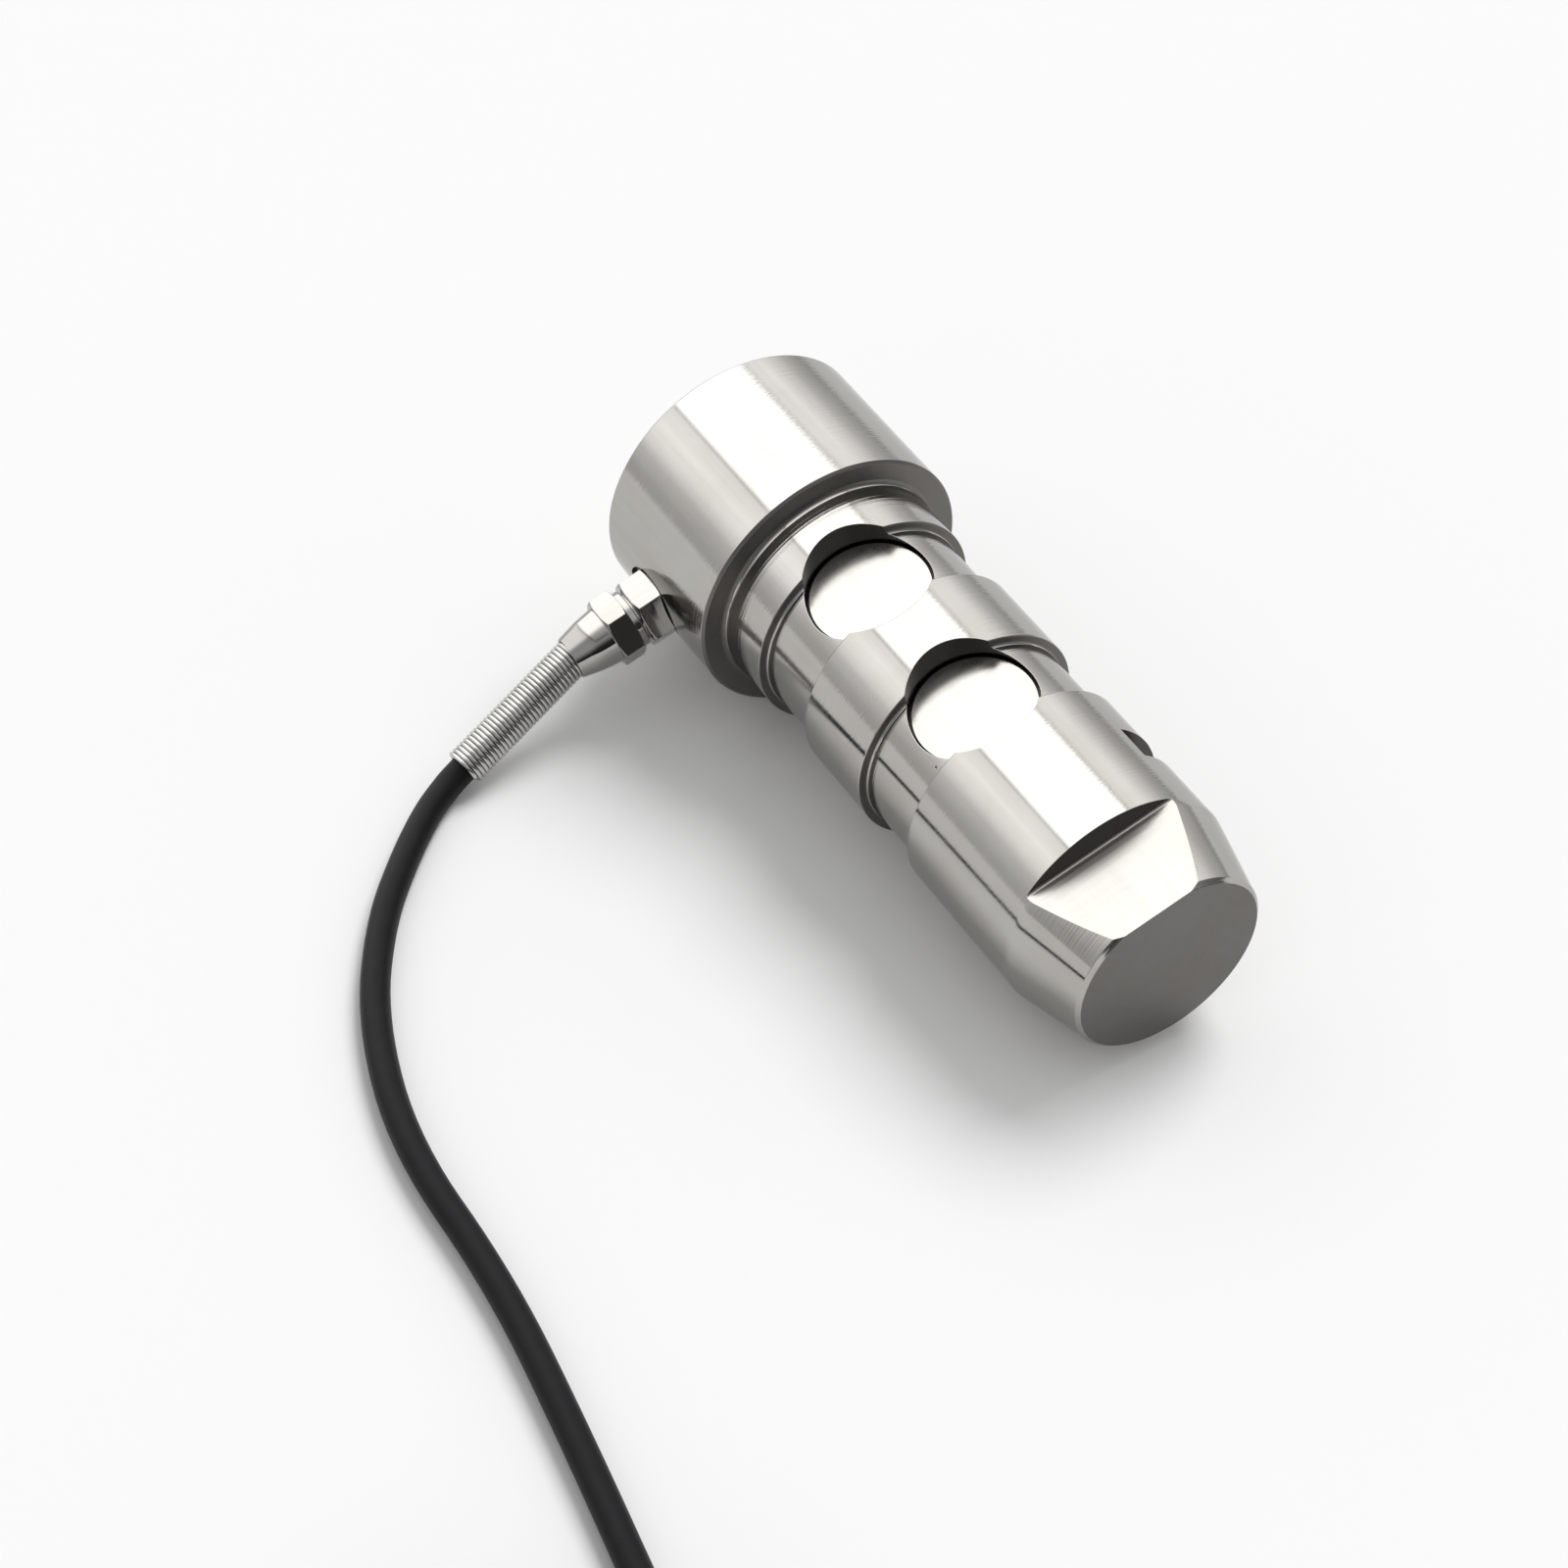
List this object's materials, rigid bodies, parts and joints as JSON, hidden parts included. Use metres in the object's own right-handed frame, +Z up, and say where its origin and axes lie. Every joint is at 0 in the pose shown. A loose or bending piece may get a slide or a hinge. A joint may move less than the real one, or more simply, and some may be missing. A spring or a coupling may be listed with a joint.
{
  "type": "shear pin load cell",
  "caption": "Round steel load pin with a flanged head, two grooves with sealed gauge pockets, a keeper flat and slot, and a side cable gland with a bend spring and coiled cable.",
  "frame": {"origin": "under the middle of the outer box of the pin, gland and spring, on the surface that the pin lies on", "axes": "+X from the head to the tip along the ground, +Z up, the gland and its spring towards -Y"},
  "size_m": [0.2922, 0.263, 0.0629],
  "materials": {
    "pin_steel": "turned and ground bright stainless steel",
    "disc_steel": "fine ground stainless steel",
    "cover_steel": "turned stainless steel",
    "screw_steel": "plain stainless steel",
    "nickel_brass": "nickel-plated brass",
    "spring_steel": "bright spring wire",
    "seal_rubber": "black nitrile rubber",
    "cable_jacket": "matt black polyurethane jacket",
    "gauge_foil": "amber polyimide with a foil grid",
    "gauge_wire": "insulated gauge wires",
    "board": "green lacquered circuit board",
    "terminal": "moulded terminal strip",
    "resistor": "lacquered resistors",
    "spacer_brass": "turned brass",
    "core_red": "insulated core",
    "core_black": "insulated core",
    "core_green": "insulated core",
    "core_white": "insulated core",
    "screen_wire": "tinned copper screen twisted to a tail"
  },
  "bodies": {
    "root": {"bend_spring": "spring_steel", "board_screws": "screw_steel", "board_spacers": "spacer_brass", "bridge_board": "board", "cable_coil": "cable_jacket", "cable_lead": "cable_jacket", "cable_tube": "cable_jacket", "cap_nut": "nickel_brass", "clamp_ring": "nickel_brass", "core_black": "core_black", "core_green": "core_green", "core_red": "core_red", "core_white": "core_white", "cover_o_ring": "seal_rubber", "cover_screws": "screw_steel", "disc_lower_1": "disc_steel", "disc_lower_2": "disc_steel", "disc_upper_1": "disc_steel", "disc_upper_2": "disc_steel", "end_cover": "cover_steel", "end_sleeve": "seal_rubber", "gauge_lower_1": "gauge_foil", "gauge_lower_2": "gauge_foil", "gauge_upper_1": "gauge_foil", "gauge_upper_2": "gauge_foil", "gland_body": "nickel_brass", "gland_o_ring": "seal_rubber", "gland_seal": "seal_rubber", "harness_lower": "gauge_wire", "harness_upper": "gauge_wire", "lead_cores": "gauge_wire", "pin_body": "pin_steel", "screen_tail": "screen_wire", "terminal_block": "terminal", "trim_resistors": "resistor"}
  },
  "joints": []
}
